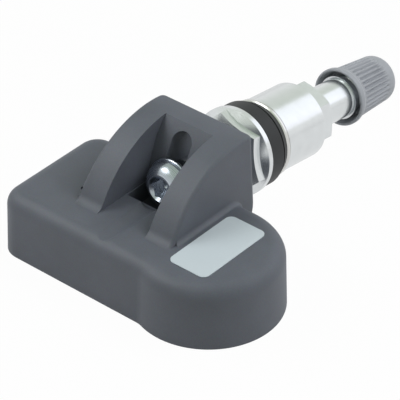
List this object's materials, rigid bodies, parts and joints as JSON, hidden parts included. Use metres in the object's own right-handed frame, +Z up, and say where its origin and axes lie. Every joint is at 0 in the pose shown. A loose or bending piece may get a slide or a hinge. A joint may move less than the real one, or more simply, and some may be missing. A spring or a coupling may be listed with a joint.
{
  "type": "tyre pressure sensor",
  "caption": "Tyre pressure sensor: a moulded electronics housing with a slotted swivel bracket, clamped by a screw to a threaded metal valve with nut, grommet and ribbed cap.",
  "frame": {"origin": "on the underside of the base, below the valve's mid plane and the middle of the bracket", "axes": "+X across the housing towards its round end, +Y along the valve towards its cap, +Z up from the base"},
  "size_m": [0.0553, 0.0882, 0.0254],
  "materials": {
    "housing_plastic": "fine-grained dark grey moulding",
    "cover_plastic": "dark grey moulding",
    "label_film": "pale blank film",
    "board_laminate": "green board",
    "cell_can": null,
    "tab_strip": "nickel strip",
    "chip_mould": "black chip package",
    "rubber_black": "black rubber",
    "can_metal": "plated can",
    "coil_body": "ferrite and winding",
    "antenna_wire": "plated copper wire",
    "capacitor_body": "tan ceramic",
    "valve_metal": "satin anodised aluminium",
    "nut_metal": "satin anodised aluminium",
    "washer_metal": "bright steel",
    "cap_plastic": "mid-grey plastic",
    "core_brass": "brass",
    "core_ring": "white sealing ring",
    "spring_steel": "spring wire",
    "screw_steel": "zinc-plated steel"
  },
  "bodies": {
    "sensor_body": {"housing": "housing_plastic", "base_cover": "cover_plastic", "label": "label_film", "circuit_board": "board_laminate", "battery": "cell_can", "positive_tab": "tab_strip", "negative_tab": "tab_strip", "sensor_chip": "chip_mould", "port_seal": "rubber_black", "resonator": "can_metal", "wake_coil": "coil_body", "antenna": "antenna_wire", "chip_capacitors": "capacitor_body"},
    "valve": {"valve_stem": "valve_metal", "rim_grommet": "rubber_black", "core_barrel": "core_brass", "core_seal": "core_ring", "core_spring": "spring_steel"},
    "nut_washer": {"thrust_washer": "washer_metal"},
    "nut": {"union_nut": "nut_metal"},
    "cap_seal": {"cap_gasket": "rubber_black"},
    "cap": {"valve_cap": "cap_plastic"},
    "pin": {"core_pin": "core_brass", "core_cup": "rubber_black"},
    "screw_washer": {"lock_washer": "screw_steel"},
    "screw": {"clamp_screw": "screw_steel"}
  },
  "joints": [
    {"name": "valve_tilt", "type": "hinge", "parent": "sensor_body", "child": "valve", "pos_m": [0, 0.0206, 0.0121], "axis": [-1, 0, 0], "range_deg": [0, 23]},
    {"name": "nut_travel", "type": "slide", "parent": "valve", "child": "nut_washer", "axis": [0, 0.9912, -0.1323], "range_m": [0, 0.008]},
    {"name": "nut_turn", "type": "hinge", "parent": "nut_washer", "child": "nut", "pos_m": [0, 0.0206, 0.0121], "axis": [0, 0.9912, -0.1323], "range_deg": [0, 2881]},
    {"name": "cap_travel", "type": "slide", "parent": "valve", "child": "cap_seal", "axis": [0, 0.9912, -0.1323], "range_m": [0, 0.009]},
    {"name": "cap_turn", "type": "hinge", "parent": "cap_seal", "child": "cap", "pos_m": [0, 0.0206, 0.0121], "axis": [0, 0.9912, -0.1323], "range_deg": [0, 4083]},
    {"name": "screw_travel", "type": "slide", "parent": "valve", "child": "screw_washer", "axis": [0, -0.9912, 0.1323], "range_m": [0, 0.0012]},
    {"name": "screw_turn", "type": "hinge", "parent": "screw_washer", "child": "screw", "pos_m": [0, 0.0206, 0.0121], "axis": [0, -0.9912, 0.1323], "range_deg": [0, 618]},
    {"name": "core_press", "type": "slide", "parent": "valve", "child": "pin", "axis": [0, -0.9912, 0.1323], "range_m": [0, 0.0012], "stiffness_N_per_m": 400, "springref_m": -0.002, "deforming": ["core_spring"]}
  ],
  "couplings": [
    {"joint": "nut_turn", "follows": "nut_travel", "rad_per_m": 6283.2},
    {"joint": "cap_turn", "follows": "cap_travel", "rad_per_m": 7915.8},
    {"joint": "screw_turn", "follows": "screw_travel", "rad_per_m": 8976}
  ]
}
